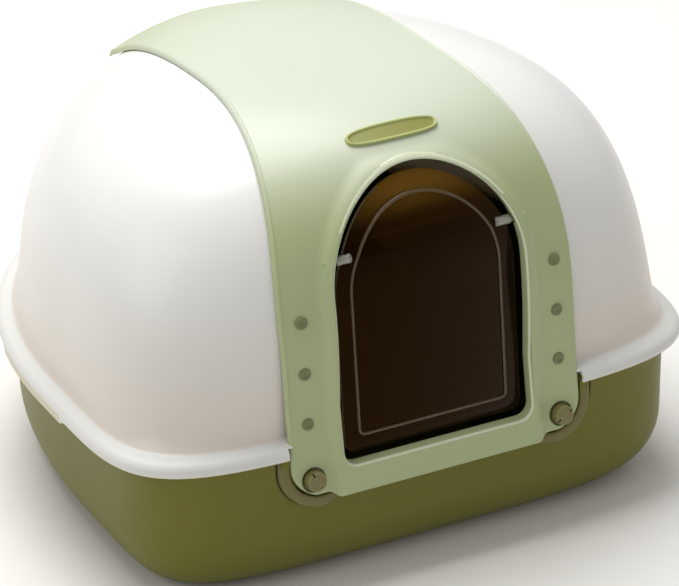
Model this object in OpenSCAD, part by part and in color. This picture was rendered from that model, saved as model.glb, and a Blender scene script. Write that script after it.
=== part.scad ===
// Cat litter box with hood: a tub, a domed hood held by a green front cover, and a swinging door flap.
// Front is -Y, +X is to the right, +Z is up. The origin is on the floor, under the middle of the box.

/* [Tub] */
// Height of the tub below the hood's lip
tub_h = 122; // [100:1:150]
// Half of the tub's width
tub_half_w = 242; // [220:1:244]
// Distance from the widest line to the tub's front
tub_front = 144; // [140:1:147]
// Distance from the widest line to the tub's back
tub_back = 322; // [300:1:324]
// Radius of the tub's bottom edge, seen from above
tub_edge_r = 42; // [20:1:50]
// Height over which the bottom edge rounds
tub_edge_h = 56; // [20:1:60]
// Thickness of the tub's wall
tub_wall = 3; // [2:0.5:4]

/* [Hood] */
// Half of the dome's width at its base
dome_half_w = 248; // [240:1:252]
// Distance from the widest line to the dome's front
dome_front = 163; // [160:1:166]
// Distance from the widest line to the dome's back
dome_back = 285; // [270:1:290]
// Height of the dome above its base
dome_h = 213; // [200:1:225]
// Roundness of the dome, from base to top
dome_power = 3.16; // [2.5:0.01:3.5]
// Thickness of the hood
hood_wall = 2.5; // [2:0.5:3.5]
// How far the lip stands outside the dome
lip_out = 14.5; // [10:0.5:16]
// Height of the dome's base above the lip's lower edge
lip_h = 15.5; // [12:0.5:18]

/* [Front cover] */
// Half of the cover's width at the front
cover_half_w = 130; // [124:1:134]
// Half of the cover's width over the top
cover_top_half_w = 96; // [90:1:110]
// Thickness of the cover
cover_t = 3; // [2:0.5:4]
// Lean of the front panel, degrees from upright
panel_lean = 10.8; // [10:0.1:14]
// Radius of the two lower corners
ear_r = 26; // [15:1:32]

/* [Door] */
// Half of the door opening's width
door_half_w = 84; // [76:1:86]
// Depth of the door frame behind the cover's face
frame_depth = 6; // [5:0.5:8]
// How far the frame's bead stands out of the cover
bead_out = 5; // [2:0.5:6]
// Thickness of the flap
flap_t = 2.5; // [2:0.5:4]
// Gap between the flap and the frame at the sides
flap_gap = 5; // [3:0.5:6]
// Radius of the hinge pins
pin_r = 2.5; // [2:0.1:3]

/* [Small parts] */
// Radius of a stud's head
stud_r = 5; // [4:0.5:6]
// Radius of the turning locks
lock_r = 8.2; // [7:0.1:9]
// How far a lock stands out of the cover
lock_out = 7.5; // [5:0.5:9]
// Half of the name plate's length
plate_half_l = 40; // [30:1:45]
// Half of the name plate's height
plate_half_h = 8; // [7:0.5:11]

/* [Hidden] */
$fn = 48;

// Places. Heights are measured from the lip's lower edge, and the box is centred front to back.
lip_z = tub_h;
wide_y = -58;            // the widest line of the dome
tub_wide_y = wide_y - 29;
side_n = 64;             // points round a ring
run_gap = 0.05;          // radial clearance of a running fit

// Exponents of the plan curves: square at the front, rounder at the back, nearly round at the top.
front_n = 5.2;
back_n = 2.2;
top_n = 1.83;
tub_back_n = 2.45;

// ---- Plan curves and the dome ----

// Unit plan curve in direction t, as [x, y], for exponents nf in front and nb behind.
function plan_k(t, n) = pow(pow(abs(cos(t)), n) + pow(abs(sin(t)), n), -1 / n);
function plan_dir(t, nf, nb) = let (n = sin(t) < 0 ? nf : nb, k = plan_k(t, n)) [k * cos(t), k * sin(t)];

// One ring of points at height z: half width a, front depth f, back depth b.
function ring(a, f, b, y0, z, nf, nb) = [
    for (i = [0:side_n - 1])
        let (t = 360 * (i + 0.5) / side_n, p = plan_dir(t, nf, nb))
        [a * p[0], y0 + (p[1] < 0 ? f : b) * p[1], z]
];

// The dome at relative height q: how far a ring shrinks, and its exponents.
function dome_scale(q) = pow(max(0, 1 - pow(q, dome_power)), 1 / dome_power);
function dome_n(n, q) = n + (top_n - n) * sqrt(q);
function dome_ring(q, off) =
    let (s = dome_scale(q))
    ring((dome_half_w + off) * s, (dome_front + off) * s, (dome_back + off) * s, wide_y,
         lip_z + lip_h + (dome_h + off) * q, dome_n(front_n, q), dome_n(back_n, q));
function lip_ring(inset, z) =
    let (o = lip_out - inset)
    ring(dome_half_w + o, dome_front + o, dome_back + o, wide_y, lip_z + z, front_n, back_n);
function tub_ring(inset, z) =
    ring(tub_half_w - inset, tub_front - inset, tub_back - inset, tub_wide_y, z, front_n, tub_back_n);

// A closed skin through a stack of rings, with a point at each end.
function stack_faces(n, m) = concat(
    [for (i = [0:m - 2]) for (j = [0:n - 1])
        let (k = (j + 1) % n) [i * n + j, i * n + k, (i + 1) * n + k]],
    [for (i = [0:m - 2]) for (j = [0:n - 1])
        let (k = (j + 1) % n) [i * n + j, (i + 1) * n + k, (i + 1) * n + j]],
    [for (j = [0:n - 1]) [n * m, (j + 1) % n, j]],
    [for (j = [0:n - 1]) [n * m + 1, (m - 1) * n + j, (m - 1) * n + (j + 1) % n]]
);
module ring_stack(rings, first, last) {
    points = concat([for (r = rings) for (p = r) p], [first, last]);
    polyhedron(points, stack_faces(side_n, len(rings)), convexity = 8);
}

// ---- The cover's surface ----

// Relative distance of a point from the dome's middle: 1 on the dome grown by off.
function dome_value(x, y, z, off) =
    let (
        q = abs(z - lip_z - lip_h) / (dome_h + off),
        n = dome_n(y < wide_y ? front_n : back_n, min(1, q)),
        d = (y < wide_y ? dome_front : dome_back) + off
    )
    pow(pow(pow(abs(x) / (dome_half_w + off), n) + pow(abs(y - wide_y) / d, n), dome_power / n)
        + pow(q, dome_power), 1 / dome_power);

// The flat front panel: its face is y = panel_y(z).
panel_y0 = wide_y - dome_front - 9.8;
panel_tan = tan(panel_lean);
function panel_y(z) = panel_y0 + panel_tan * (z - lip_z);

// A ray from the cover's centre, at angle a above the forward direction.
ray_y = wide_y + 40;
ray_z = lip_z + 20;
function on_ray(r, a) = [ray_y - r * cos(a), ray_z + r * sin(a)];
function dome_reach(x, a, off, lo = 0, hi = 400, n = 26) =
    let (mid = (lo + hi) / 2, p = on_ray(mid, a))
    n == 0 ? mid
    : dome_value(x, p[0], p[1], off) < 1 ? dome_reach(x, a, off, mid, hi, n - 1)
    : dome_reach(x, a, off, lo, mid, n - 1);
function panel_reach(a, back) =
    (ray_y - panel_y0 - back - panel_tan * (ray_z - lip_z)) / (cos(a) + panel_tan * sin(a));
join_z = lip_z + 97;
function cover_reach(x, a, off, back) =
    let (r1 = dome_reach(x, a, off), r2 = panel_reach(a, back))
    on_ray(r1, a)[1] < join_z ? max(r1, r2) : r1;
function cover_point(x, a, off, back) =
    let (p = on_ray(cover_reach(x, a, off, back), a)) [x, p[0], p[1]];

// Rays and widths of the cover's rows: the round ears, the panel, then over the top to the back end.
function panel_angle(z) = atan2(z - ray_z, ray_y - panel_y(z));
cover_low_z = lip_z - 36;
cover_end_a = 139;
ear_rows = 5;
cover_rows = 30;
function smooth(t) = let (u = min(1, max(0, t))) u * u * (3 - 2 * u);
function cover_w(a) = cover_half_w + (cover_top_half_w - cover_half_w) * smooth((a - 23) / 68);
ear_top_a = panel_angle(cover_low_z + ear_r);
row_angles = concat(
    [for (i = [0:ear_rows - 1]) panel_angle(cover_low_z + ear_r * (1 - cos(90 * i / ear_rows)))],
    [for (i = [0:cover_rows]) ear_top_a + (cover_end_a - ear_top_a) * i / cover_rows]
);
row_widths = concat(
    [for (i = [0:ear_rows - 1]) cover_half_w - ear_r * (1 - sin(90 * i / ear_rows))],
    [for (i = [0:cover_rows]) cover_w(row_angles[ear_rows + i])]
);
cover_cols = 14;
function cover_skin(off, back) = [
    for (i = [0:len(row_angles) - 1]) for (j = [0:cover_cols])
        cover_point(row_widths[i] * (2 * j / cover_cols - 1), row_angles[i], off, back)
];

// Faces of a slab between two skins of m by n cells.
function slab_faces(m, n) =
    let (w = n + 1, s = (m + 1) * w)
    concat(
        [for (i = [0:m - 1]) for (j = [0:n - 1]) let (p = i * w + j) each [
            [p, p + w, p + w + 1], [p, p + w + 1, p + 1],
            [s + p, s + p + w + 1, s + p + w], [s + p, s + p + 1, s + p + w + 1]]],
        [for (j = [0:n - 1]) let (p = j, t = m * w + j) each [
            [p, p + 1, s + p + 1], [p, s + p + 1, s + p],
            [t + 1, t, s + t], [t + 1, s + t, s + t + 1]]],
        [for (i = [0:m - 1]) let (p = i * w, t = i * w + n) each [
            [p + w, p, s + p], [p + w, s + p, s + p + w],
            [t, t + w, s + t + w], [t, s + t + w, s + t]]]
    );

// ---- Frames of the panel and the door ----

// Puts a child drawn at the origin, facing +Z, on the panel's face at x and height z.
module on_panel(x, z) {
    translate([x, panel_y(z), z]) rotate([90 - panel_lean, 0, 0]) children();
}

// The cover's face, grown by off from the dome: y at a given x and z.
function face_y(x, z, off = 4) =
    let (
        q = (z - lip_z - lip_h) / (dome_h + off),
        n = dome_n(front_n, min(1, max(0, q))),
        s = pow(max(0, 1 - pow(max(0, q), dome_power)), n / dome_power) - pow(abs(x) / (dome_half_w + off), n),
        dome_y = wide_y - (dome_front + off) * pow(max(0, s), 1 / n)
    )
    z < join_z ? min(dome_y, panel_y(z)) : dome_y;

// The door's outline, seen from the front, as [x, z, outward x, outward z].
door_foot = lip_z - 17;
door_top = lip_z + 205;
door_corner_r = 11;
frame_w = 11;
function arc_points(x, z, r, a0, a1, n) = [
    for (i = [0:n]) let (a = a0 + (a1 - a0) * i / n) [x + r * cos(a), z + r * sin(a), cos(a), sin(a)]
];
function arch_points(w, z0, z1, corner) = concat(
    arc_points(0, z1 - w, w, 0, 180, 28),
    [for (i = [1:7]) [-w, z1 - w + (z0 + corner - z1 + w) * i / 8, -1, 0]],
    arc_points(corner - w, z0 + corner, corner, 180, 270, 5),
    [for (i = [1:5]) [(w - corner) * (i / 3 - 1), z0, 0, -1]],
    arc_points(w - corner, z0 + corner, corner, 270, 360, 5),
    [for (i = [1:7]) [w, z0 + corner + (z1 - w - z0 - corner) * i / 8, 1, 0]]
);
function arch_outline(w, z0, z1, corner) = [for (p = arch_points(w, z0, z1, corner)) [p[0], p[1]]];

// A child drawn in x and z, cut straight through from front to back.
module front_to_back(y0, y1) {
    translate([0, y1, 0]) rotate([90, 0, 0]) linear_extrude(y1 - y0) children();
}
module door_arch(grow) {
    polygon(arch_outline(door_half_w + grow, door_foot - grow, door_top + grow, door_corner_r + grow));
}

// A bead swept round the door. The section is [outward, depth behind the face] pairs.
module door_ring(section) {
    path = arch_points(door_half_w, door_foot, door_top, door_corner_r);
    n = len(path);
    m = len(section);
    points = [
        for (p = path) for (c = section)
            let (x = p[0] + c[0] * p[2], z = p[1] + c[0] * p[3])
            [x, face_y(x, z) + c[1], z]
    ];
    faces = concat(
        [for (i = [0:n - 1]) for (j = [0:m - 1])
            let (a = i * m + j, b = i * m + (j + 1) % m, c = ((i + 1) % n) * m + j) [a, c, b]],
        [for (i = [0:n - 1]) for (j = [0:m - 1])
            let (b = i * m + (j + 1) % m, k = ((i + 1) % n) * m) [b, k + j, k + (j + 1) % m]]
    );
    polyhedron(points, faces, convexity = 8);
}

// ---- Positions of the small parts ----

stud_x = 112.5;
stud_zs = [24, 66, 108];
stud_hole_r = 3;
stud_grip = 9;
lock_x = 111.5;
lock_z = lip_z - 22;
lock_hole_r = 10.5;
lock_shank_r = 5;
cam_depth = 18.5;
cam_half_l = 14;
cam_half_w = 6;
cam_t = 3;

// The hinge line, and the flap that hangs from it behind the frame's face.
pin_z = lip_z + 148;
pin_y = face_y(0, pin_z) + 7.5;
function flap_depth(z) = 7.5 + 2.5 * smooth((z - pin_z) / 50);
flap_slope = 0.1256;
flap_half_w = door_half_w - flap_gap;
flap_foot = door_foot + 5;
flap_top = door_top - 9;
hub_r = 4;
hub_in = flap_half_w - 15;
hub_out = flap_half_w - 2;
bush_r = 4;
bush_flange_r = 5;
pin_end = door_half_w + 3.5;

// Puts a child drawn at the origin, facing +Z, on the cover's face.
function face_lean(x, z) = atan2(face_y(x, z + 5) - face_y(x, z - 5), 10);
module on_face(x, z) {
    translate([x, face_y(x, z), z]) rotate([90 - face_lean(x, z), 0, 0]) children();
}
module at_studs() {
    for (s = [-1, 1]) for (z = stud_zs) on_face(s * stud_x, lip_z + z) children();
}

// The name plate lies on the shoulder above the door: a patch of the cover's surface.
plate_z = lip_z + 220;
plate_rows = 10;
plate_cols = 12;
plate_angle = atan2(plate_z - ray_z, ray_y - face_y(0, plate_z));
plate_radius = norm([plate_z - ray_z, ray_y - face_y(0, plate_z)]);
module plate_patch(grow, low, high) {
    h = plate_half_h + grow;
    straight = plate_half_l - plate_half_h;
    skins = [
        for (off = [high, low]) for (i = [0:plate_rows])
            let (v = -cos(180 * i / plate_rows), w = straight + h * sqrt(max(0, 1 - v * v)))
            for (j = [0:plate_cols])
                cover_point(w * (2 * j / plate_cols - 1), plate_angle + h * v / plate_radius * 57.3 * 1.1, off, 0)
    ];
    polyhedron(skins, slab_faces(plate_rows, plate_cols), convexity = 4);
}

// ---- Tub ----

rim_z = tub_h + 5.8;
entry_half_w = 92;
entry_z = tub_h - 23;

module tub_shell() {
    r = tub_edge_r;
    h = tub_edge_h;
    rings = concat(
        [for (t = [0:15:75]) tub_ring(r * (1 - sin(t)), h * (1 - cos(t)))],
        [tub_ring(0, h), tub_ring(0, tub_h - 3), lip_ring(4, 2.5), lip_ring(4, rim_z - lip_z)],
        [tub_ring(tub_wall, rim_z), tub_ring(tub_wall, h)],
        [for (t = [15:15:90])
            tub_ring(tub_wall + (r - 2) * (1 - cos(t)), h - (h - tub_wall) * sin(t))]
    );
    ring_stack([for (i = [len(rings) - 1:-1:0]) rings[i]],
               [0, tub_wide_y, tub_wall], [0, tub_wide_y, 0]);
}

// Outline of a cover-shaped pad, grown by g, on the panel's plane with the lip's edge at y = 0.
module pad_outline(g, top) {
    w = cover_half_w + g;
    r = ear_r + g;
    y0 = (cover_low_z - lip_z) / cos(panel_lean) - g;
    polygon(concat(
        [for (t = [180:9:270]) [r - w + r * cos(t), y0 + r + r * sin(t)]],
        [for (t = [270:9:360]) [w - r + r * cos(t), y0 + r + r * sin(t)]],
        [[w, top], [-w, top]]
    ));
}
pad_y = tub_wide_y - tub_front + 11;
module tub() {
    color([0.47, 0.47, 0.24]) difference() {
        union() {
            tub_shell();
            difference() {
                on_panel(0, lip_z) translate([0, 0, -30]) linear_extrude(29.5) pad_outline(8, -0.6);
                translate([-200, pad_y, 0]) cube([400, 60, 200]);
            }
        }
        on_panel(0, lip_z) translate([0, 0, -cover_t - 1]) linear_extrude(12) pad_outline(1.2, 20);
        translate([-entry_half_w, -400, entry_z]) cube([2 * entry_half_w, 300, 60]);
        for (s = [-1, 1]) lock_slot(s);
    }
}
module lock_slot(s) {
    w = lock_shank_r + 1.5;
    on_panel(s * lock_x, lock_z) {
        translate([0, 0, -40]) cylinder(r = w, h = 60);
        translate([-w, 0, -40]) cube([2 * w, 60, 60]);
        translate([0, 0, -cover_t - 5.5]) cylinder(r = lock_r + 6, h = 12);
        translate([-lock_r - 6, 0, -cover_t - 5.5]) cube([2 * lock_r + 12, 60, 12]);
    }
}

// ---- Hood ----

// The lip's lower edge, which hangs deeper along the middle of each side.
skirt_drop = 4;
function skirt_ring(inset) = [
    for (p = lip_ring(inset, 0))
        [p[0], p[1], p[2] - skirt_drop * smooth((p[1] - wide_y + 40) / 14) * smooth((wide_y + 100 - p[1]) / 14)]
];

module hood_shell() {
    steps = [0, 9, 18, 27, 36, 45, 54, 63, 72, 80, 86];
    inner = -hood_wall;
    rings = concat(
        [for (i = [len(steps) - 1:-1:0]) dome_ring(sin(steps[i]), 0)],
        [lip_ring(lip_out - 4, lip_h - 2.5), lip_ring(3, 9.5), lip_ring(0, 7)],
        [skirt_ring(0), skirt_ring(hood_wall), lip_ring(hood_wall, 6)],
        [lip_ring(lip_out + hood_wall, 6)],
        [for (i = [0:len(steps) - 1]) dome_ring(sin(steps[i]), inner)]
    );
    top = lip_z + lip_h + dome_h;
    ring_stack(rings, [0, wide_y, top], [0, wide_y, top - hood_wall]);
}

module hood() {
    color([0.93, 0.93, 0.91]) difference() {
        hood_shell();
        front_to_back(-400, -100) door_arch(frame_w + 2);
        translate([-cover_half_w - 2.5, -400, lip_z - 10])
            cube([2 * cover_half_w + 5, 250, lip_h + 11]);
        at_studs() translate([0, 0, -30]) cylinder(r = stud_hole_r, h = 60);
    }
}

// ---- Front cover ----

module front_cover() {
    d = frame_depth;
    b = bead_out;
    color([0.68, 0.74, 0.58]) difference() {
        union() {
            difference() {
                polyhedron(concat(cover_skin(4, 0), cover_skin(4 - cover_t, cover_t)),
                           slab_faces(len(row_angles) - 1, cover_cols), convexity = 8);
                front_to_back(-400, -100) door_arch(1.5);
                plate_patch(0.2, 3, 9);
            }
            door_ring([[0, 1 - b], [1.2, 0.2 - b], [3, -b], [7, -b], [9.5, 1.2 - b], [frame_w, 1], [frame_w, 2],
                       [3, 2.4], [3, d], [0, d]]);
            for (s = [-1, 1]) on_panel(s * lock_x, lock_z) translate([0, 0, -cover_t - 4])
                cylinder(r = lock_hole_r + 2, h = 5);
            for (s = [-1, 1]) at_pin(s * (door_half_w + 0.6)) cylinder(r = bush_r + 1.5, h = 5.9);
        }
        at_studs() translate([0, 0, -30]) cylinder(r = stud_hole_r, h = 60);
        for (s = [-1, 1]) {
            on_panel(s * lock_x, lock_z) {
                translate([0, 0, -4]) cylinder(r = lock_hole_r, h = 20);
                translate([0, 0, -30]) cylinder(r = lock_r + run_gap, h = 60);
            }
            at_pin(s * (door_half_w - 10)) cylinder(r = bush_r, h = 15.2);
        }
    }
}

// Puts a child, drawn along +Z, on the hinge line at x, pointing away from the middle.
module at_pin(x) {
    translate([x, pin_y, pin_z]) rotate([0, x < 0 ? -90 : 90, 0]) children();
}

module name_plate() {
    color([0.62, 0.63, 0.3]) difference() {
        plate_patch(0, 3.05, 6);
        plate_patch(-1.8, 5, 9);
    }
}

module stud() {
    rotate_extrude() polygon([
        [0, -stud_grip], [stud_hole_r - 0.9, -stud_grip], [stud_hole_r, -stud_grip + 2],
        [stud_hole_r, 0.2], [stud_r, 0.2], [stud_r, 1.2],
        [stud_r - 0.3, 2], [stud_r - 1, 2.5], [stud_r - 1.9, 2.6], [stud_r - 2.6, 2.1], [stud_r - 3.4, 1.8],
        [0, 1.7]
    ]);
}
module snap_studs() {
    color([0.43, 0.48, 0.3]) at_studs() stud();
}

// ---- Door flap and its hinge ----

// The flap's sheet: flat from side to side, straight below its pins, and curved back above them like the cover.
function flap_y(z) = z < pin_z ? pin_y - (pin_z - z) * flap_slope : face_y(0, z) + flap_depth(z);
module flap_sheet(front, back) {
    zs = [for (i = [0:22]) flap_foot - 2 + (flap_top - flap_foot + 4) * i / 22];
    translate([-100, 0, 0]) rotate([90, 0, 90]) linear_extrude(200) polygon(concat(
        [for (z = zs) [flap_y(z) - front, z]],
        [for (i = [len(zs) - 1:-1:0]) [flap_y(zs[i]) + back, zs[i]]]
    ));
}
module flap_arch(inset) {
    polygon(arch_outline(flap_half_w - inset, flap_foot + inset, flap_top - inset, 9 - inset / 4));
}
module door_flap() {
    color([0.4, 0.3, 0.2, 0.6]) difference() {
        union() {
            intersection() {
                flap_sheet(flap_t / 2, flap_t / 2);
                front_to_back(-400, -100) flap_arch(0);
            }
            intersection() {
                flap_sheet(flap_t / 2 + 1, flap_t / 4);
                front_to_back(-400, -100) difference() {
                    flap_arch(12);
                    flap_arch(14.5);
                }
            }
            for (s = [-1, 1]) at_pin(s * hub_in) cylinder(r = hub_r, h = hub_out - hub_in);
        }
        for (s = [-1, 1]) {
            at_pin(s * (hub_in + 2)) cylinder(r = pin_r, h = 40);
            at_pin(s * hub_out) cylinder(r = bush_flange_r + 1, h = 20);
        }
    }
}
module hinge_pin(s) {
    color([0.85, 0.85, 0.82]) at_pin(s * (hub_in + 2.5)) cylinder(r = pin_r, h = pin_end - hub_in - 2.5);
}
module hinge_pin_left() { hinge_pin(-1); }
module hinge_pin_right() { hinge_pin(1); }

module hinge_bush(s) {
    color([0.9, 0.9, 0.88]) difference() {
        union() {
            at_pin(s * (door_half_w - 0.1)) cylinder(r = bush_r, h = 5.1);
            at_pin(s * (door_half_w - 1.6)) cylinder(r = bush_flange_r, h = 1.5);
        }
        at_pin(s * (door_half_w - 10)) cylinder(r = pin_r + run_gap, h = 40);
    }
}
module hinge_bush_left() { hinge_bush(-1); }
module hinge_bush_right() { hinge_bush(1); }

// ---- Turning locks ----

module lock_knob(s) {
    color([0.47, 0.45, 0.26]) on_panel(s * lock_x, lock_z) difference() {
        union() {
            translate([0, 0, -cover_t - 4.5]) cylinder(r = lock_r, h = lock_out + cover_t + 4.5);
            translate([0, 0, -cam_depth - cam_t]) cylinder(r = lock_shank_r, h = cam_depth + cam_t - 5);
            translate([0, 0, -3.9]) cylinder(r = lock_r + 1.3, h = 1.2);
        }
        for (k = [0, 180]) rotate([0, 0, k + (s < 0 ? 115 : 30)])
            translate([lock_r - 3.4, -0.85, lock_out - 3.1]) cube([5, 1.7, 6]);
    }
}
module lock_knob_left() { lock_knob(-1); }
module lock_knob_right() { lock_knob(1); }

module lock_cam(s) {
    color([0.4, 0.38, 0.22]) on_panel(s * lock_x, lock_z) translate([0, 0, -cam_depth - cam_t])
        difference() {
            linear_extrude(cam_t) hull() for (d = [-1, 1])
                translate([d * (cam_half_l - cam_half_w), 0]) circle(cam_half_w + 1, $fn = 32);
            translate([0, 0, -1]) cylinder(r = lock_shank_r, h = cam_t + 2);
        }
}
module lock_cam_left() { lock_cam(-1); }
module lock_cam_right() { lock_cam(1); }

tub();
hood();
front_cover();
name_plate();
snap_studs();
door_flap();
hinge_pin_left();
hinge_pin_right();
hinge_bush_left();
hinge_bush_right();
lock_knob_left();
lock_knob_right();
lock_cam_left();
lock_cam_right();
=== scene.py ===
import math

import bmesh
import bpy
import numpy as np
from mathutils import Matrix, Vector


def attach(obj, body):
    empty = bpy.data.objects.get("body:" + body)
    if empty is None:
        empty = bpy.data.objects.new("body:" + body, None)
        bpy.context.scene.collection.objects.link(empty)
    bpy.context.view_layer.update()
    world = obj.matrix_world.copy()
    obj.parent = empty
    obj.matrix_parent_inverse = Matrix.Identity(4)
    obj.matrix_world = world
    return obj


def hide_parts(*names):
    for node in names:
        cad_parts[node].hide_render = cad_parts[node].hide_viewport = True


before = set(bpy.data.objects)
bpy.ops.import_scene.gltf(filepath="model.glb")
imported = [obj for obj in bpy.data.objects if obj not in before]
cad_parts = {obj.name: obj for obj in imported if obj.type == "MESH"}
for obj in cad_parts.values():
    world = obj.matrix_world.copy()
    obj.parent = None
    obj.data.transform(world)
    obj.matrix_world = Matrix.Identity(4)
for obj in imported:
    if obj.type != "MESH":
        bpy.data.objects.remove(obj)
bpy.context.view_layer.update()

# ---------------------------------------------------------------- sizes, in millimetres, as in the CAD
MM = 0.001  # metres
LIP_Z = 122.0
WIDE_Y = -58.0
DOME = dict(a=248.0, f=163.0, b=285.0, h=213.0, p=3.16, base=15.5)
TUB = dict(a=242.0, f=144.0, b=322.0, y=-87.0, edge_r=42.0, edge_h=56.0, wall=3.0)
FRONT_N, BACK_N, TOP_N, TUB_BACK_N = 5.2, 2.2, 1.83, 2.45
LIP_OUT = 14.5
LEAN = math.radians(10.8)
PANEL_Y0 = WIDE_Y - DOME["f"] - 9.8
COVER_W, COVER_TOP_W, COVER_T = 130.0, 96.0, 3.0
COVER_LOW = LIP_Z - 36
EAR_R = 26.0
DOOR_W, DOOR_FOOT, DOOR_TOP, DOOR_R = 84.0, LIP_Z - 17, LIP_Z + 205, 11.0
RAY_Y, RAY_Z = WIDE_Y + 40, LIP_Z + 20
JOIN_Z = LIP_Z + 97
LOCK_X, LOCK_Z = 111.5, LIP_Z - 22
PIN_Z = LIP_Z + 148
PIN_DEPTH = 7.5
PIN_BORE = 4.02
FLAP_SLOPE = 0.1256
PLATE_Z = LIP_Z + 220
PLATE_HALF_H, PLATE_STRAIGHT = 8.0, 32.0
COVER_OUT = 4.0  # from the dome to the cover's face
# a cutter's two ends in y: ahead of everything, and inside the box
AHEAD, INSIDE = -400, -100

# how the cover's surface is found along a ray, and how softly its panel flows into the dome
RAY_MAX, FLAT_MAX, HALVINGS = 400.0, 900, 40
BLEND, BLEND_REACH = 2.5, 30


# ---------------------------------------------------------------- shapes
def smooth(t):
    """0 below 0, 1 above 1, and a soft step between."""
    t = np.clip(t, 0, 1)
    return t * t * (3 - 2 * t)


def plan(t, nf, nb):
    """Unit outline at angle t: one superellipse exponent in front, another behind."""
    n = np.where(np.sin(t) < 0, nf, nb)
    k = (np.abs(np.cos(t)) ** n + np.abs(np.sin(t)) ** n) ** (-1 / n)
    return k * np.cos(t), k * np.sin(t)


def ring(a, f, b, y0, z, nf, nb, count):
    """Level ring with half width a that reaches f forward and b back of y0."""
    t = 2 * np.pi * (np.arange(count) + 0.5) / count
    x, y = plan(t, nf, nb)
    return np.stack([a * x, y0 + np.where(y < 0, f, b) * y, np.full(count, float(z))], 1)


def dome_n(n, q):
    """The outline's exponent at the share q of the dome's height."""
    return n + (TOP_N - n) * np.sqrt(np.clip(q, 0, 1))


def dome_ring(q, off, count):
    """Ring of the dome grown by off, at the share q of its height."""
    s = max(0.0, 1 - q ** DOME["p"]) ** (1 / DOME["p"])
    return ring((DOME["a"] + off) * s, (DOME["f"] + off) * s, (DOME["b"] + off) * s, WIDE_Y,
                LIP_Z + DOME["base"] + (DOME["h"] + off) * q, dome_n(FRONT_N, q), dome_n(BACK_N, q), count)


def lip_ring(out, z, count):
    """Ring that stands out from the dome's foot, z above the lip's lower edge."""
    return ring(DOME["a"] + out, DOME["f"] + out, DOME["b"] + out, WIDE_Y, LIP_Z + z, FRONT_N, BACK_N, count)


def tub_ring(inset, z, count):
    """Ring of the tub's wall, set in from its outside."""
    return ring(TUB["a"] - inset, TUB["f"] - inset, TUB["b"] - inset, TUB["y"], z, FRONT_N, TUB_BACK_N, count)


def panel_y(z):
    """y of the cover's flat, leaning panel."""
    return PANEL_Y0 + math.tan(LEAN) * (z - LIP_Z)


def face_y(x, z):
    """y of the cover's face, without the raised field round the door."""
    x, z = np.asarray(x, float), np.asarray(z, float)
    q = np.clip((z - LIP_Z - DOME["base"]) / (DOME["h"] + COVER_OUT), 0, 1)
    n = dome_n(FRONT_N, q)
    s = np.maximum(0, 1 - q ** DOME["p"]) ** (n / DOME["p"]) - (np.abs(x) / (DOME["a"] + COVER_OUT)) ** n
    y = WIDE_Y - (DOME["f"] + COVER_OUT) * np.maximum(0, s) ** (1 / n)
    return np.where(z < JOIN_Z, np.minimum(y, panel_y(z)), y)


def dome_value(x, y, z, off):
    """Below 1 inside the dome grown by off, above 1 outside it."""
    q = np.abs(z - LIP_Z - DOME["base"]) / (DOME["h"] + off)
    n = np.where(y < WIDE_Y, dome_n(FRONT_N, q), dome_n(BACK_N, q))
    d = np.where(y < WIDE_Y, DOME["f"], DOME["b"]) + off
    r = ((np.abs(x) / (DOME["a"] + off)) ** n + (np.abs(y - WIDE_Y) / d) ** n)
    return r ** (DOME["p"] / n) + q ** DOME["p"]


def cover_reach(x, a, off, back):
    """How far the cover's surface is along the ray at angle a (radians) over the forward direction."""
    x, a = np.broadcast_arrays(np.asarray(x, float), np.asarray(a, float))
    lo, hi = np.zeros(x.shape), np.full(x.shape, RAY_MAX)
    for _ in range(HALVINGS):
        mid = (lo + hi) / 2
        inside = dome_value(x, RAY_Y - mid * np.cos(a), RAY_Z + mid * np.sin(a), off) < 1
        lo, hi = np.where(inside, mid, lo), np.where(inside, hi, mid)
    ahead = RAY_Y - PANEL_Y0 - back - math.tan(LEAN) * (RAY_Z - LIP_Z)
    flat = ahead / (np.cos(a) + math.tan(LEAN) * np.sin(a))
    low = RAY_Z + lo * np.sin(a) < JOIN_Z
    # a soft maximum, so that the panel flows into the dome
    soft = BLEND * np.logaddexp(lo / BLEND, np.clip(flat, 0, FLAT_MAX) / BLEND)
    both = np.where(flat - lo > BLEND_REACH, flat, soft)
    return np.where(low & (np.cos(a) > 0.2), both, lo)


def cover_point(x, a, off, back):
    """Point on the ray at angle a, where the surface is off the dome and set back from the panel."""
    r = cover_reach(x, a, off, back)
    x, a = np.broadcast_arrays(np.asarray(x, float), np.asarray(a, float))
    return np.stack([x, RAY_Y - r * np.cos(a), RAY_Z + r * np.sin(a)], -1)


def arc(x, z, r, a0, a1, n):
    """Points (x, z, outward x, outward z) on a circle, from a0 to a1 degrees."""
    a = np.radians(np.linspace(a0, a1, n))
    return [(x + r * c, z + r * s, c, s) for c, s in zip(np.cos(a), np.sin(a))]


def arch_path(w, z0, z1, corner, step=3.0):
    """Closed outline (x, z, outward x, outward z): round top, straight sides, round lower corners."""
    arch_n, corner_n = 64, 12
    pts = arc(0, z1 - w, w, 0, 180, arch_n)
    side_n = max(2, int((z1 - w - z0 - corner) / step))
    pts += [(-w, z1 - w + (z0 + corner - z1 + w) * i / side_n, -1, 0) for i in range(1, side_n)]
    pts += arc(corner - w, z0 + corner, corner, 180, 270, corner_n)
    foot_n = max(2, int(2 * (w - corner) / step))
    pts += [(corner - w + 2 * (w - corner) * i / foot_n, z0, 0, -1) for i in range(1, foot_n)]
    pts += arc(w - corner, z0 + corner, corner, 270, 360, corner_n)
    pts += [(w, z0 + corner + (z1 - w - z0 - corner) * i / side_n, 1, 0) for i in range(1, side_n)]
    return np.array(pts)


# ---------------------------------------------------------------- mesh helpers
def add(name, data):
    """A new object, linked to the scene."""
    ob = bpy.data.objects.new(name, data)
    bpy.context.scene.collection.objects.link(ob)
    return ob


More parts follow.
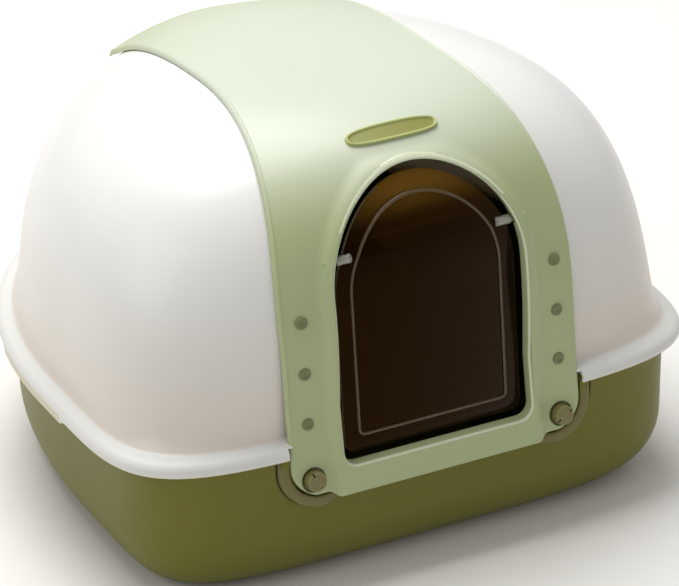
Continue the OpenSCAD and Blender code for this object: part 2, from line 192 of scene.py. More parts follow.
def make(name, verts, faces):
    """A mesh object from millimetres."""
    me = bpy.data.meshes.new(name)
    me.from_pydata([tuple(v) for v in np.asarray(verts) * MM], [], faces)
    me.validate()
    ob = add(name, me)
    shade(ob)
    return ob


def shade(ob, angle=35):
    """Smooth shading, with edges sharper than the angle left hard."""
    for p in ob.data.polygons:
        p.use_smooth = True
    ob.data.set_sharp_from_angle(angle=math.radians(angle))


def recalc(ob, angle=35):
    """Doubled vertices merged and all faces turned outward."""
    bm = bmesh.new()
    bm.from_mesh(ob.data)
    bmesh.ops.remove_doubles(bm, verts=bm.verts, dist=1e-6)
    bmesh.ops.recalc_face_normals(bm, faces=bm.faces)
    bm.to_mesh(ob.data)
    bm.free()
    shade(ob, angle)


def loft(rings, closed=False):
    """Vertices and quads through equal rings; open ends get fans round a centre point."""
    n = len(rings[0])
    verts = [p for r in rings for p in r]
    m = len(rings)
    faces = []
    for i in range(m if closed else m - 1):
        i2 = (i + 1) % m
        for j in range(n):
            k = (j + 1) % n
            faces.append((i * n + j, i2 * n + j, i2 * n + k, i * n + k))
    if not closed:
        for i in (0, m - 1):
            c = len(verts)
            verts.append(np.mean(rings[i], axis=0))
            for j in range(n):
                faces.append((c, i * n + j, i * n + (j + 1) % n))
    return verts, faces


def boolean(ob, cutter, op="DIFFERENCE"):
    """Cuts ob with the cutter, which is used up."""
    mod = ob.modifiers.new("cut", "BOOLEAN")
    mod.object = cutter
    mod.operation = op
    mod.solver = "EXACT"
    bake(ob)
    bpy.data.objects.remove(cutter)


def bake(ob):
    """Turns the modifiers into plain mesh."""
    bpy.context.view_layer.update()
    deps = bpy.context.evaluated_depsgraph_get()
    me = bpy.data.meshes.new_from_object(ob.evaluated_get(deps))
    ob.modifiers.clear()
    ob.data = me


def bevel(ob, width, segments, angle):
    """Rounds the edges that are sharper than the angle."""
    mod = ob.modifiers.new("bevel", "BEVEL")
    mod.width = width * MM
    mod.segments = segments
    mod.limit_method = "ANGLE"
    mod.angle_limit = math.radians(angle)
    bake(ob)
    shade(ob, 40)


def join(name, obs):
    """One object from several, which are used up; material numbers are kept."""
    bm = bmesh.new()
    for o in obs:
        me = o.data.copy()
        me.transform(o.matrix_world)
        bm.from_mesh(me)
    me = bpy.data.meshes.new(name)
    bm.to_mesh(me)
    bm.free()
    for o in obs:
        bpy.data.objects.remove(o)
    return add(name, me)


def side_faces(n):
    """Quads between two outlines of n points."""
    return [(i, (i + 1) % n, n + (i + 1) % n, n + i) for i in range(n)]


def prism(path, y0, y1):
    """A path whose points begin with x and z, taken straight from y0 to y1."""
    a = [(p[0], y0, p[1]) for p in path]
    b = [(p[0], y1, p[1]) for p in path]
    n = len(a)
    ob = make("cutter", a + b, side_faces(n) + [tuple(range(n))[::-1], tuple(range(n, 2 * n))])
    recalc(ob)
    return ob


def block(w0, w1, z0, z1, y0, y1):
    """An upright box from w0 to w1, z0 to z1 and y0 to y1."""
    return prism([(w0, z0), (w1, z0), (w1, z1), (w0, z1)], y0, y1)


def bar(name, corners, z0, z1, place):
    """A four-sided bar on local corners (x, y) from z0 to z1, then placed."""
    ob = make(name, [(x, y, z) for z in (z0, z1) for x, y in corners],
              [(0, 1, 2, 3), (4, 5, 6, 7), (0, 1, 5, 4), (1, 2, 6, 5), (2, 3, 7, 6), (3, 0, 4, 7)])
    ob.data.transform(place)
    recalc(ob)
    return ob


def lathe(name, profile, matrix, steps=64, angle=35):
    """Profile of (radius, height) turned about Z, then placed."""
    verts, faces = [], []
    n = len(profile)
    for i in range(steps):
        t = 2 * math.pi * i / steps
        for r, h in profile:
            verts.append((r * math.cos(t), r * math.sin(t), h))
    for i in range(steps):
        k = (i + 1) % steps
        for j in range(n - 1):
            faces.append((i * n + j, k * n + j, k * n + j + 1, i * n + j + 1))
    me = bpy.data.meshes.new(name)
    me.from_pydata([Vector(v) * MM for v in verts], [], faces)
    me.transform(matrix)
    ob = add(name, me)
    recalc(ob, angle)
    return ob


def plug(name, radius, z0, z1, place, steps=64):
    """A solid cylinder from z0 to z1, then placed."""
    return lathe(name, [(0, z0), (radius, z0), (radius, z1), (0, z1)], place, steps)


def on_panel(x, z):
    """Local X along X, local Y up the panel, local Z outward, in metres."""
    return (Matrix.Translation(Vector((x, panel_y(z), z)) * MM)
            @ Matrix.Rotation(math.pi / 2 - LEAN, 4, "X"))


def at_pin(x):
    """Local Z outward along the flap's hinge axis, from x, in metres."""
    return (Matrix.Translation(Vector((x, float(face_y(0, PIN_Z)) + PIN_DEPTH, PIN_Z)) * MM)
            @ Matrix.Rotation(math.copysign(math.pi / 2, x), 4, "Y"))


# ---------------------------------------------------------------- materials
BLOTCH_SCALE, BLOTCH_DETAIL, GRAIN_DETAIL = 9, 3.0, 2.0
BUMP_DEPTH = 0.0004  # metres
PLASTIC_IOR = 1.49
SCATTER_RADIUS = (0.012, 0.010, 0.008)  # metres, for red, green and blue
# the edge colour is a painted highlight on sharp edges
SHARP_FROM, SHARP_TO = 0.52, 0.60  # pointiness where an edge's colour starts and is full


def mix_colors(nt, factor, first, second):
    """Socket of a colour mix; first is a socket or a colour, second a colour."""
    mix = nt.nodes.new("ShaderNodeMix")
    mix.data_type = "RGBA"
    if isinstance(first, tuple):
        mix.inputs[6].default_value = (*first, 1)
    else:
        nt.links.new(first, mix.inputs[6])
    mix.inputs[7].default_value = (*second, 1)
    nt.links.new(factor, mix.inputs[0])
    return mix.outputs[2]


def material(name, color, rough, color2, grain=900, bump=0.06, coat=0.0, coat_rough=0.1, rough_var=0.08,
             subsurface=0.0, transmission=0.0, spec=0.5, spec_tint=None, sharp_highlight=None, low=None, top_painted_light=None,
             span=None):
    """Mottled plastic. The edge colour is a painted highlight on the sharp edges; the low or high colour is
    painted light, which takes over below or above span, in metres.
    """
    m = bpy.data.materials.new(name)
    m.use_nodes = True
    nt = m.node_tree
    nt.nodes.clear()
    node, link = nt.nodes.new, nt.links.new
    out, bsdf = node("ShaderNodeOutputMaterial"), node("ShaderNodeBsdfPrincipled")
    link(bsdf.outputs[0], out.inputs[0])
    where = node("ShaderNodeTexCoord").outputs["Object"]
    big, fine = node("ShaderNodeTexNoise"), node("ShaderNodeTexNoise")
    for noise, scale, detail in ((big, BLOTCH_SCALE, BLOTCH_DETAIL), (fine, grain, GRAIN_DETAIL)):
        noise.inputs["Scale"].default_value = scale
        noise.inputs["Detail"].default_value = detail
        link(where, noise.inputs["Vector"])
    last = mix_colors(nt, big.outputs["Fac"], color, color2)
    # painted highlight: a lighter colour on the sharp edges, found by pointiness
    if sharp_highlight:
        geo, ramp = node("ShaderNodeNewGeometry"), node("ShaderNodeValToRGB")
        ramp.color_ramp.elements[0].position = SHARP_FROM
        ramp.color_ramp.elements[1].position = SHARP_TO
        link(geo.outputs["Pointiness"], ramp.inputs[0])
        last = mix_colors(nt, ramp.outputs[0], last, sharp_highlight)
    # painted light: a colour that takes over towards the bottom or the top
    for painted_tint, ends in ((low, (1, 0)), (top_painted_light, (0, 1))):
        if painted_tint:
            height, step = node("ShaderNodeSeparateXYZ"), node("ShaderNodeMapRange")
            step.interpolation_type = "SMOOTHSTEP"
            step.inputs["From Min"].default_value = span[ends[0]]
            step.inputs["From Max"].default_value = span[ends[1]]
            link(where, height.inputs[0])
            link(height.outputs[2], step.inputs["Value"])
            last = mix_colors(nt, step.outputs[0], last, painted_tint)
    link(last, bsdf.inputs["Base Color"])
    if spec_tint:
        bsdf.inputs["Specular Tint"].default_value = (*spec_tint, 1)
    rmap = node("ShaderNodeMapRange")
    rmap.inputs["To Min"].default_value = max(0.02, rough - rough_var / 2)
    rmap.inputs["To Max"].default_value = rough + rough_var / 2
    link(big.outputs["Fac"], rmap.inputs["Value"])
    link(rmap.outputs[0], bsdf.inputs["Roughness"])
    relief = node("ShaderNodeBump")
    relief.inputs["Strength"].default_value = bump
    relief.inputs["Distance"].default_value = BUMP_DEPTH
    link(fine.outputs["Fac"], relief.inputs["Height"])
    link(relief.outputs[0], bsdf.inputs["Normal"])
    bsdf.inputs["Coat Weight"].default_value = coat
    bsdf.inputs["Coat Roughness"].default_value = coat_rough
    bsdf.inputs["Subsurface Weight"].default_value = subsurface
    bsdf.inputs["Subsurface Radius"].default_value = SCATTER_RADIUS
    bsdf.inputs["Subsurface Scale"].default_value = 1.0
    bsdf.inputs["Transmission Weight"].default_value = transmission
    bsdf.inputs["IOR"].default_value = PLASTIC_IOR
    bsdf.inputs["Specular IOR Level"].default_value = spec
    return m


M_TUB = material("tub_plastic", (0.158, 0.149, 0.024), 0.44, (0.136, 0.130, 0.019), coat=0.05, coat_rough=0.35,
                 spec=0.25, spec_tint=(1.0, 0.97, 0.7))
M_BAND = material("tub_band", (0.185, 0.165, 0.060), 0.42, (0.165, 0.148, 0.052), spec=0.3)
# A near-black line outside the tub's band: painted shadow at the band's outer step.
M_SHADOW_LINE = material("tub_painted_shadow_line", (0.035, 0.034, 0.012), 0.6, (0.028, 0.027, 0.010), spec=0.1)
# The hood's white gets warmer towards the bottom: painted light, the warm bounce from the floor.
M_HOOD = material("hood_plastic", (0.80, 0.79, 0.765), 0.34, (0.76, 0.75, 0.725), coat=0.15, coat_rough=0.2,
                  bump=0.03, subsurface=0.12, low=(0.70, 0.645, 0.575), span=(0.139, 0.262))
# The lip and its underside are darker copies of the hood's white: painted shade on the lip's face, and warm
# painted shade on its underside.
M_SHADED_LIP = material("lip_painted_shade", (0.70, 0.70, 0.675), 0.40, (0.67, 0.67, 0.645), bump=0.03, spec=0.3)
M_SHADED_LIP_UNDERSIDE = material("lip_underside_painted_shade", (0.62, 0.58, 0.43), 0.40, (0.58, 0.54, 0.40), bump=0.03)
# The cover's green turns paler towards the top: painted light from above.
M_COVER = material("cover_plastic", (0.41, 0.465, 0.25), 0.38, (0.385, 0.44, 0.23), coat=0.12, coat_rough=0.28,
                   bump=0.05, spec=0.4, top_painted_light=(0.55, 0.60, 0.49), span=(0.29, 0.356))
M_PLATE = material("plate_plastic", (0.235, 0.245, 0.045), 0.42, (0.21, 0.22, 0.038))
# The plate's lighter rim is a painted highlight on its raised edge.
M_PLATE_EDGE_HIGHLIGHT = material("plate_edge_painted_highlight", (0.43, 0.47, 0.17), 0.38, (0.39, 0.43, 0.15))
# A lighter copy of the cover's green: painted highlight on the door's rolled edge.
M_DOOR_EDGE_HIGHLIGHT = material("door_edge_painted_highlight", (0.66, 0.70, 0.52), 0.32, (0.62, 0.66, 0.48), coat=0.2)
M_STUD = material("stud_plastic", (0.165, 0.205, 0.078), 0.38, (0.14, 0.175, 0.066), coat=0.2)
# The knob's lighter sharp edges are a painted highlight.
M_LOCK = material("lock_plastic", (0.19, 0.17, 0.06), 0.40, (0.165, 0.15, 0.05), sharp_highlight=(0.36, 0.37, 0.18))
# The flap's dark brown tint is partly its smoky plastic and partly painted shade of the box's inside; the amber
# towards its top is painted light, the lit inside of the hood seen through it.
M_FLAP = material("flap_clear", (0.036, 0.013, 0.001), 0.06, (0.046, 0.024, 0.004), bump=0.01, transmission=0.95,
                  rough_var=0.02, spec=0.04, spec_tint=(0.35, 0.16, 0.03), top_painted_light=(0.80, 0.43, 0.07),
                  span=(0.286, 0.314))
M_RIM = material("flap_edge", (0.22, 0.145, 0.06), 0.25, (0.18, 0.12, 0.05), transmission=0.6, bump=0.02, spec=0.3)
M_EDGE = material("flap_outline", (0.42, 0.36, 0.25), 0.2, (0.36, 0.31, 0.22), transmission=0.4, bump=0.02)
M_PIN = material("pin_clear", (0.82, 0.82, 0.72), 0.12, (0.74, 0.74, 0.64), transmission=0.75, bump=0.02)


def tint(ob, index):
    """All faces get the material number they will have in the joined piece."""
    for p in ob.data.polygons:
        p.material_index = index
    return ob


def finish_piece(ob, materials, body, node):
    """Materials and body of a piece, and the CAD node it replaces."""
    for m in materials:
        ob.data.materials.append(m)
    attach(ob, body)
    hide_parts(node)


def keep_node(name, mat):
    """A CAD node is shown as it is, with smooth shading and a material."""
    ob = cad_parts[name]
    tint(ob, 0)
    shade(ob)
    ob.data.materials.clear()
    ob.data.materials.append(mat)


# ---------------------------------------------------------------- tub
def sweep(path, section, depth):
    """Rings of a section of (outward, depth) pairs along a path of (x, z, nx, nz); depth(x, z) is the face."""
    o, d = np.array(section).T
    rings = []
    for x, z, nx, nz in path:
        px, pz = x + o * nx, z + o * nz
        rings.append(np.stack([px, depth(px, pz) + d, pz], 1))
    return rings


def wall_y(x):
    """The outside of the tub's front wall."""
    return TUB["y"] - TUB["f"] * (1 - (np.abs(x) / TUB["a"]) ** FRONT_N) ** (1 / FRONT_N)


def band_sink(x, nz):
    """The band and the painted shadow line outside it go into the wall below the middle of the cover."""
    return 9.0 * float(smooth((104 - abs(x)) / 22)) if nz < 0 else 0.0


def build_tub():
    n = 192
    r, h, w = TUB["edge_r"], TUB["edge_h"], TUB["wall"]
    rim = 5.8
    ts = np.radians(np.arange(0, 90, 6))
    outer = [tub_ring(r * (1 - math.sin(t)), h * (1 - math.cos(t)), n) for t in ts]
    outer += [tub_ring(0, z, n) for z in np.linspace(h, LIP_Z - 4, 8)]
    outer += [lip_ring(LIP_OUT - 4.4, 1.6, n), lip_ring(LIP_OUT - 4, 2.2, n), lip_ring(LIP_OUT - 4, rim - 0.5, n),
              lip_ring(LIP_OUT - 4.5, rim, n)]
    inner = [tub_ring(w + 0.6, LIP_Z + rim, n), tub_ring(w, LIP_Z + rim - 0.6, n)]
    inner += [tub_ring(w, z, n) for z in np.linspace(LIP_Z, h, 8)]
    ts = np.radians(np.arange(6, 91, 6))
    inner += [tub_ring(w + (r - 2) * (1 - math.cos(t)), h - (h - w) * math.sin(t), n) for t in ts]
    shell = make("tub_shell", *loft(outer + inner))
    recalc(shell)
    # the thick pad behind the cover's feet
    pad_front, pad_back = -231.5, -220.0
    boolean(shell, prism(pad_path(8.0, LIP_Z + 1), pad_front, pad_back), "UNION")
    # the hollow that the cover's panel stands in; its back leans like the panel
    side_gap, back_gap = 1.2, 1.0
    hollow = prism(pad_path(side_gap, LIP_Z + 40), AHEAD, AHEAD + 100)
    for v in hollow.data.vertices:
        if v.co.y > (AHEAD + 50) * MM:
            v.co.y = (panel_y(v.co.z / MM) + COVER_T + back_gap) * MM
    boolean(shell, hollow)
    # the low front, where the cat steps in
    low_half_w, low_z = 92.0, LIP_Z - 23
    boolean(shell, block(-low_half_w, low_half_w, low_z, 200, AHEAD, INSIDE))
    # the slots for the shafts and the pockets round the knobs' cups, open upwards so that the hood lifts off
    reach_up = 60
    for s in (-1, 1):
        place = on_panel(s * LOCK_X, LOCK_Z)
        for half, z0, z1 in ((6.5, -40, 20), (14.2, -8.5, 3.5)):
            corners = ((-half, 0), (half, 0), (half, reach_up), (-half, reach_up))
            boolean(shell, plug("pocket", half, z0, z1, place))
            boolean(shell, bar("lane", corners, z0, z1, place))
    shade(shell)
    # the raised band round the cover's feet; its back stays just inside the tub's wall
    path = pad_path(1.6, LIP_Z - 0.5, fine=True)
    section = [(0, 4), (0, 1.9), (0.5, 1.2), (1.4, 0.9), (6.6, 0.9), (7.8, 1.3), (8.6, 2.2), (9.0, 3.4),
               (9.6, 6.5), (10.0, 12), (0, 12)]
    root, buried = 12, 1.5
    rings = []
    for x, z, nx, nz in path:
        pts = []
        for o, d in section:
            px, pz = x + o * nx, z + o * nz
            deepest = float(wall_y(px)) + buried
            y = panel_y(pz) + d + band_sink(x, nz)
            pts.append((px, deepest if d == root else min(y, deepest), pz))
        rings.append(np.array(pts))
    band = make("tub_band", *loft(rings))
    recalc(band, 40)
    # painted shadow: a dark line outside the band, where the step's shade falls
    section = ((9.2, buried), (9.2, -0.3), (10.5, -0.3), (10.5, buried))
    rings = [np.array([(x + o * nx, float(wall_y(x + o * nx)) + d + band_sink(x, nz), z + o * nz)
                       for o, d in section]) for x, z, nx, nz in path]
    shadow_line = make("tub_painted_shadow_line", *loft(rings))
    recalc(shadow_line, 40)
    ob = join("tub_body", [shell, tint(band, 1), tint(shadow_line, 2)])
    shade(ob)
    finish_piece(ob, (M_TUB, M_BAND, M_SHADOW_LINE), "tub", "tub")


def pad_path(g, top, fine=False):
    """U-shaped path round the cover's lower edge, grown by g, from the left top to the right top."""
    w, r = COVER_W + g, EAR_R + g
    z0 = COVER_LOW - g
    corner_n = 14
    side_n, foot_n = (12, 30) if fine else (3, 3)
    left = [(-w, z, -1, 0) for z in np.linspace(top, z0 + r, side_n)[:-1]]
    corner1 = arc(r - w, z0 + r, r, 180, 270, corner_n)
    bottom = [(x, z0, 0, -1) for x in np.linspace(r - w, w - r, foot_n)[1:-1]]
    corner2 = arc(w - r, z0 + r, r, 270, 360, corner_n)
    right = [(w, z, 1, 0) for z in np.linspace(z0 + r, top, side_n)[1:]]
    return left + corner1 + bottom + corner2 + right


# ---------------------------------------------------------------- hood
def door_cutter(grow):
    """The doorway's outline, grown, from ahead of the cover into the box."""
    return prism(arch_path(DOOR_W + grow, DOOR_FOOT - grow, DOOR_TOP + grow, DOOR_R + grow), AHEAD, INSIDE)


def build_hood():
    n = 256
    qs = np.sin(np.radians(np.linspace(0, 88.5, 64)))
    outer = [dome_ring(q, 0, n) for q in qs[::-1]]
    lip = [(0.8, 13.9), (2.2, 12.7), (4.5, 11.9), (7.5, 11.2), (10.2, 10.3), (12.2, 9.0), (13.6, 7.2),
           (14.3, 5.2), (14.5, 3.4), (14.5, 1.0), (14.3, 0.3), (13.7, 0.0), (12.6, 0.0), (12.1, 0.4),
           (12.0, 1.2), (12.0, 5.2), (11.2, 6.0)]
    rings = []
    for o, z in lip:
        rg = lip_ring(o, z, n)
        if z <= 1.3:
            # the lip's lower edge hangs lower along the middle of each side
            rg[:, 2] -= 4.0 * smooth((rg[:, 1] - (WIDE_Y - 40)) / 7) * smooth(((WIDE_Y + 100) - rg[:, 1]) / 7)
        rings.append(rg)
    wall = 2.5
    inner = [dome_ring(q, -wall, n) for q in qs]
    inner[0][:, 2] = LIP_Z + 6
    shell = make("hood_shell", *loft(outer + rings + inner))
    recalc(shell, 40)
    boolean(shell, door_cutter(13))
    # the lip is cut away at the cover: low down just past its edges, higher up only behind it
    for w, top in ((COVER_W + 2.2, LIP_Z + 9.5), (COVER_W - 2.0, LIP_Z + 16.6)):
        boolean(shell, block(-w, w, LIP_Z - 12, top, AHEAD, -150))
    shade(shell, 40)
    # 0 is the dome, 1 the underside of the lip in warm painted shade, and 2 the rest of the lip in a darker copy
    # of the dome's white, painted shade
    for p in shell.data.polygons:
        z = p.center.z
        painted_shade_below = z < (LIP_Z + 1.1) * MM and p.normal.z < -0.2 or z < (LIP_Z + 0.25) * MM
        p.material_index = 1 if painted_shade_below else 2 if z < (LIP_Z + 13.2) * MM else 0
    finish_piece(shell, (M_HOOD, M_SHADED_LIP_UNDERSIDE, M_SHADED_LIP), "hood", "hood")


# ---------------------------------------------------------------- front cover
def bead_height(x, z):
    """How far the raised field round the door stands out of the cover."""
    zc = DOOR_TOP - DOOR_W
    out = np.where(z > zc, np.hypot(x, z - zc), np.abs(x)) - DOOR_W
    gap = np.hypot(np.maximum(np.abs(x) - PLATE_STRAIGHT, 0), z - PLATE_Z) - PLATE_HALF_H
    return 4.4 * (1 - smooth((out - 4.5) / 8.5)) * smooth((gap - 0.5) / 5)


def cover_half_width(a):
    """The cover narrows as it climbs over the dome."""
    return COVER_W + (COVER_TOP_W - COVER_W) * smooth((np.degrees(a) - 23) / 68)


def skins(top, low):
    """Vertices and quads of two grids of points, joined round their edges."""
    rows, w = top.shape[:2]
    verts = [p for r in top for p in r] + [p for r in low for p in r]
    s = rows * w
    faces = []
    for i in range(rows - 1):
        for j in range(w - 1):
            p = i * w + j
            faces.append((p, p + 1, p + w + 1, p + w))
            faces.append((s + p, s + p + w, s + p + w + 1, s + p + 1))
    for j in range(w - 1):
        for base in (0, (rows - 1) * w):
            faces.append((base + j, base + j + 1, s + base + j + 1, s + base + j))
    for i in range(rows - 1):
        for c in (0, w - 1):
            p = i * w + c
            faces.append((p, p + w, s + p + w, s + p))
    return verts, faces


def build_cover():
    cols, row_n, ear_n = 128, 190, 14
    end = math.radians(139)
    ear_top = math.atan2(COVER_LOW + EAR_R - RAY_Z, RAY_Y - panel_y(COVER_LOW + EAR_R))
    # rows: the rounded feet first, then evenly up the panel and over the dome
    angles, widths = [], []
    for i in range(ear_n):
        t = math.radians(90 * i / ear_n)
        z = COVER_LOW + EAR_R * (1 - math.cos(t))
        angles.append(math.atan2(z - RAY_Z, RAY_Y - panel_y(z)))
        widths.append(COVER_W - EAR_R * (1 - math.sin(t)))
    rows = np.linspace(ear_top, end, row_n)
    angles += list(rows)
    widths += list(cover_half_width(rows))
    angles, widths = np.array(angles), np.array(widths)
    # columns: closer together near the side edges, which keeps their roll smooth
    near = np.linspace(-1, -0.92, 22)[:-1]
    u = np.concatenate([near, np.linspace(-0.92, 0.92, cols - 41), -near[::-1]])
    X = widths[:, None] * u[None, :]
    A = np.broadcast_to(angles[:, None], X.shape)
    top = cover_point(X, A, COVER_OUT, 0.0)
    low = cover_point(X, A, COVER_OUT - COVER_T, COVER_T)
    # raised field round the door
    top[..., 1] -= np.where(np.cos(A) > 0.25, bead_height(X, top[..., 2]), 0)
    # raised side edges
    inward = widths[:, None] - np.abs(X)
    rim = 0.8 * (1 - smooth((inward - 2.2) / 1.6)) * smooth((top[..., 2] - LIP_Z + 10) / 20)
    top += rim[..., None] * np.stack([0 * A, -np.cos(A), np.sin(A)], -1)
    # the field's foot hangs a little lower than the two feet beside it
    for arr in (top, low):
        fall = 5.0 * smooth((99 - np.abs(X)) / 9) * (1 - smooth((arr[..., 2] - COVER_LOW) / 22))
        arr[..., 2] -= fall
        arr[..., 1] -= fall * math.tan(LEAN)
    # rounded edges: the outer skin rolls down to the inner one at the sides and at both ends
    roll_r, roll_share = 3.2, 0.72
    steps = np.linalg.norm(np.diff(top[:, cols // 2], axis=0), axis=1)
    along = np.concatenate([[0], np.cumsum(steps)])
    dist = np.minimum(inward, np.minimum(along, along[-1] - along)[:, None])
    roll = 1 - np.sqrt(np.clip(1 - (1 - np.clip(dist / roll_r, 0, 1)) ** 2, 0, 1))
    top = top + (low - top) * roll[..., None] * roll_share
    # a soft upturned lip at the back end
    lift = 3.0 * smooth((along - along[-1] + 26) / 26)
    for arr in (top, low):
        arr[..., 2] += lift[:, None]
    slab = make("cover_slab", *skins(top, low))
    recalc(slab, 40)
    boolean(slab, door_cutter(2.2))
    for s in (-1, 1):
        boolean(slab, plug("hole", 10.5, -20, 20, on_panel(s * LOCK_X, LOCK_Z)))
    shade(slab, 38)
    # the door's inner wall, with its rounded front edge
    path = arch_path(DOOR_W, DOOR_FOOT, DOOR_TOP, DOOR_R)
    section = [(4.6, -4.1), (4.2, -4.44), (2.6, -4.42), (1.5, -4.1), (0.7, -3.4), (0.2, -2.4), (0, -1.2), (0, 2),
               (0, 5.5), (0.5, 6), (2.5, 6), (3, 5.5), (3, 4), (3, 2.2), (4.6, 2.0)]
    walls = make("cover_wall", *loft(sweep(path, section, face_y), closed=True))
    recalc(walls, 50)
    # 1 is the rolled edge, painted lighter as a highlight
    for p in walls.data.polygons:
        p.material_index = 1 if -0.86 < p.normal.y < -0.30 else 0
    for s in (-1, 1):
        for part in (slab, walls):
            boolean(part, plug("bore", PIN_BORE, 0, 15.2, at_pin(s * (DOOR_W - 10)), 40))
    # cups round the knobs, bosses round the bushes
    cup = [(8.25, -7), (11.3, -7), (11.3, -2.6), (10.5, -2.6), (10.5, -0.9), (10.35, -0.9), (10.35, -4),
           (8.25, -4), (8.25, -7)]
    boss = [(PIN_BORE, 0.6), (4.4, 0.6), (4.4, 5.9), (0, 5.9), (0, 5.2), (PIN_BORE, 5.2), (PIN_BORE, 0.6)]
    parts = [slab, walls]
    for s in (-1, 1):
        parts.append(lathe("cup", cup, on_panel(s * LOCK_X, LOCK_Z), 64))
        parts.append(lathe("boss", boss, at_pin(s * DOOR_W), 40))
    ob = join("cover_panel", parts)
    shade(ob, 40)
    finish_piece(ob, (M_COVER, M_DOOR_EDGE_HIGHLIGHT), "hood", "front_cover")


# ---------------------------------------------------------------- name plate
def build_plate():
    up, forward = PLATE_Z - RAY_Z, RAY_Y - float(face_y(0, PLATE_Z))
    a0, radius = math.atan2(up, forward), math.hypot(up, forward)
    squareness, stretch = 0.7, 1.1
    # (growth of the outline, distance out from the dome): from the face, over the raised rim, to the foot
    prof = [(-6.5, 5.2), (-3.2, 5.25), (-2.5, 5.35), (-2.1, 5.9), (-1.7, 6.35), (-1.1, 6.5), (-0.5, 6.4),
            (-0.1, 5.9), (0.0, 5.2), (0.0, 3.1)]
    t = np.radians(np.arange(0, 360, 5))
    c, d = (np.sign(v) * np.abs(v) ** squareness for v in (np.cos(t), np.sin(t)))
    rings = [cover_point((PLATE_STRAIGHT + PLATE_HALF_H + g) * c, a0 + (PLATE_HALF_H + g) * d / radius * stretch,
                         off, 0) for g, off in prof]
    verts, faces = [p for r in rings for p in r], []
    n = len(rings[0])
    for i in range(len(rings) - 1):
        for j in range(n):
            k = (j + 1) % n
            faces.append((i * n + j, i * n + k, (i + 1) * n + k, (i + 1) * n + j))
    # both ends are closed with upright strips, which follow the cover's curve from side to side
    for base in (0, (len(rings) - 1) * n):
        for i in range(n // 2):
            strip = dict.fromkeys((i, i + 1, n - i - 1, (n - i) % n))
            faces.append(tuple(base + k for k in strip))
    ob = make("plate_face", verts, faces)
    recalc(ob, 60)
    # 0 is the face, 1 the rim with its painted highlight
    for p in ob.data.polygons:
        p.material_index = 1 if 2 <= p.index // n < len(rings) - 1 else 0
    finish_piece(ob, (M_PLATE, M_PLATE_EDGE_HIGHLIGHT), "hood", "name_plate")


# ---------------------------------------------------------------- flap
def flap_y(x, z):
    """y of the flap's middle surface: straight below the pins, curved like the cover above. The same at any x."""
    z = np.asarray(z, float)
    bent = face_y(0, z) + PIN_DEPTH + 2.5 * smooth((z - PIN_Z) / 50)
    return np.where(z < PIN_Z, float(face_y(0, PIN_Z)) + PIN_DEPTH - (PIN_Z - z) * FLAP_SLOPE, bent)


def build_flap():
    w, z0, z1 = DOOR_W - 5, DOOR_FOOT + 5, DOOR_TOP - 9
    t = 1.25  # half the sheet's thickness
    # a curved sheet wider than the door, trimmed to the flap's outline
    zs = np.linspace(z0 - 4, z1 + 4, 72)
    ys = flap_y(0, zs)
    left = [(-100, y - t, z) for y, z in zip(ys, zs)] + [(-100, y + t, z) for y, z in zip(ys[::-1], zs[::-1])]
    right = [(100, y, z) for _, y, z in left]
    n = len(left)
    faces = side_faces(n)
    for base in (0, n):
        faces += [(base + i, base + i + 1, base + n - 2 - i, base + n - 1 - i) for i in range(len(zs) - 1)]
    sheet = make("flap_sheet", left + right, faces)
    recalc(sheet)
    boolean(sheet, prism(arch_path(w, z0, z1, 9), AHEAD, INSIDE), "INTERSECT")
    shade(sheet, 40)
    bevel(sheet, 0.5, 2, 60)
    # 3 is the sheet's edge all round; the outline gets 1 and the hubs 2
    for p in sheet.data.polygons:
        p.material_index = 3 if math.hypot(p.normal.y, p.normal.z) < 0.93 or p.normal.z < -0.4 else 0
    # the raised inner outline on the flap's face
    inner = arch_path(w - 12, z0 + 12, z1 - 12, 6, step=4)
    section = [(0.0, -t + 0.2), (0.0, -t - 0.7), (-0.4, -t - 1.1), (-1.9, -t - 1.1), (-2.3, -t - 0.7),
               (-2.3, -t + 0.2)]
    line = make("flap_line", *loft(sweep(inner, section, flap_y), closed=True))
    recalc(line, 50)
    parts = [sheet, tint(line, 1)]
    # hubs, open at their outer ends for the pins
    hub_in, hub_out = w - 15, w - 2
    length = hub_out - hub_in
    hub = [(0, 0), (3.4, 0), (4, 0.6), (4, length - 0.6), (3.6, length), (2.55, length), (2.55, 2), (0, 2)]
    for s in (-1, 1):
        parts.append(tint(lathe("hub", hub, at_pin(s * hub_in), 40), 2))
    ob = join("flap_panel", parts)
    shade(ob, 40)
    finish_piece(ob, (M_FLAP, M_RIM, M_PIN, M_EDGE), "flap", "door_flap")


# ---------------------------------------------------------------- knobs
def build_knobs():
    profile = [(0, -7.5), (8.2, -7.5), (8.2, -3.9), (9.5, -3.9), (9.5, -2.9), (9.2, -2.7), (8.2, -2.7),
               (8.2, 6.3), (7.9, 7.0), (7.2, 7.4), (6.6, 7.5), (0, 7.5)]
    shaft_profile = [(0, -21.5), (4.6, -21.5), (5, -21), (5, -5), (0, -5)]
    notch_corners = ((4.8, -0.85), (9.0, -0.85), (9.0, 0.85), (4.8, 0.85))
    for s, side, notch_angle in ((-1, "left", 115), (1, "right", 30)):
        place = on_panel(s * LOCK_X, LOCK_Z)
        knob = lathe("knob", profile, place, 72, 30)
        # two opposite notches in the knob's face
        for half_turn in (0, 1):
            a = math.radians(notch_angle) + half_turn * math.pi
            c, d = math.cos(a), math.sin(a)
            boolean(knob, bar("notch", [(r * c - off * d, r * d + off * c) for r, off in notch_corners],
                              4.4, 12, place))
        shaft = lathe("shaft", shaft_profile, place, 48, 30)
        ob = join("knob_" + side, [knob, shaft])
        shade(ob, 30)
        finish_piece(ob, (M_LOCK,), "lock_" + side, "lock_knob_" + side)


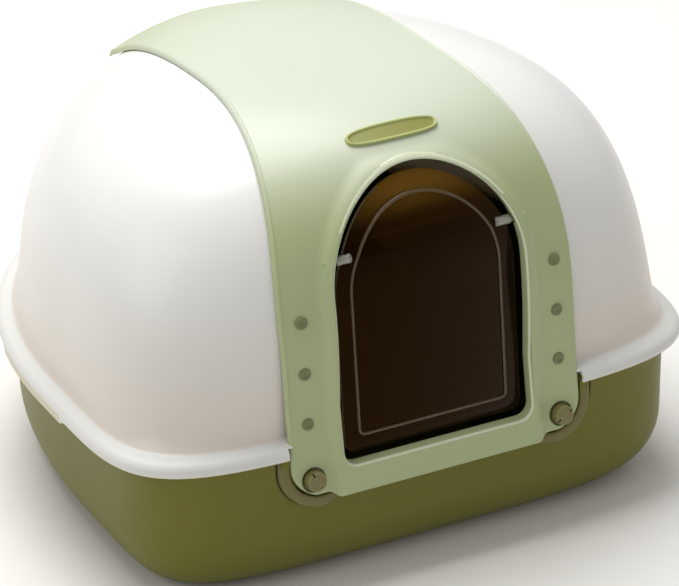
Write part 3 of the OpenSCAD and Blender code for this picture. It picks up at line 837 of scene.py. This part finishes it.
build_tub()
build_hood()
build_cover()
build_plate()
build_flap()
build_knobs()
keep_node("snap_studs", M_STUD)
for side in ("left", "right"):
    keep_node("hinge_pin_" + side, M_PIN)
    keep_node("hinge_bush_" + side, M_PIN)
    keep_node("lock_cam_" + side, M_LOCK)


# ---------------------------------------------------------------- floor, light, camera
def area(name, loc, target, size, power, color):
    """A square lamp, in metres and watts, aimed at the target."""
    light = bpy.data.lights.new(name, "AREA")
    light.energy = power
    light.color = color
    light.size = size
    ob = add(name, light)
    ob.location = loc
    ob.rotation_euler = (Vector(target) - Vector(loc)).to_track_quat("-Z", "Y").to_euler()


def build_floor():
    bm = bmesh.new()
    bmesh.ops.create_circle(bm, cap_ends=True, segments=96, radius=6.0)
    me = bpy.data.meshes.new("studio_floor")
    bm.to_mesh(me)
    bm.free()
    ob = add("studio_floor", me)
    # half a millimetre down, clear of the tub's underside
    ob.location = (0, 0, -0.5 * MM)
    me.materials.append(material("studio_floor", (0.86, 0.845, 0.82), 0.6, (0.85, 0.835, 0.81), bump=0.02,
                                 grain=60))


build_floor()
area("top_light", (-0.1, 0.7, 2.4), (0, 0, 0.2), 1.8, 63, (1.0, 1.0, 0.99))
area("left_light", (-2.4, -0.5, 1.6), (0, 0, 0.2), 1.6, 12, (1.0, 0.99, 0.97))
area("front_fill", (1.6, -2.6, 1.0), (0, 0, 0.15), 1.8, 3, (1.0, 0.96, 0.90))
world = bpy.data.worlds.new("studio")
bpy.context.scene.world = world
world.use_nodes = True
background = world.node_tree.nodes["Background"]
background.inputs["Color"].default_value = (1.0, 0.99, 0.975, 1)
background.inputs["Strength"].default_value = 0.42
bpy.context.scene.view_settings.view_transform = "Standard"

cam_data = bpy.data.cameras.new("camera")
cam_data.lens = 227.4
cam_data.sensor_width = 36.0
cam_data.clip_end = 50
camera = add("camera", cam_data)
right = Vector((0.88288, -0.46959, 0.0))
up = Vector((0.2217, 0.41682, 0.88153))
look = Vector((0.41396, 0.77829, -0.47211))
eye = (-1.4439, -2.7823, 1.8047)
camera.matrix_world = Matrix.Translation(eye) @ Matrix((right, up, -look)).transposed().to_4x4()
bpy.context.scene.camera = camera

bpy.context.view_layer.update()
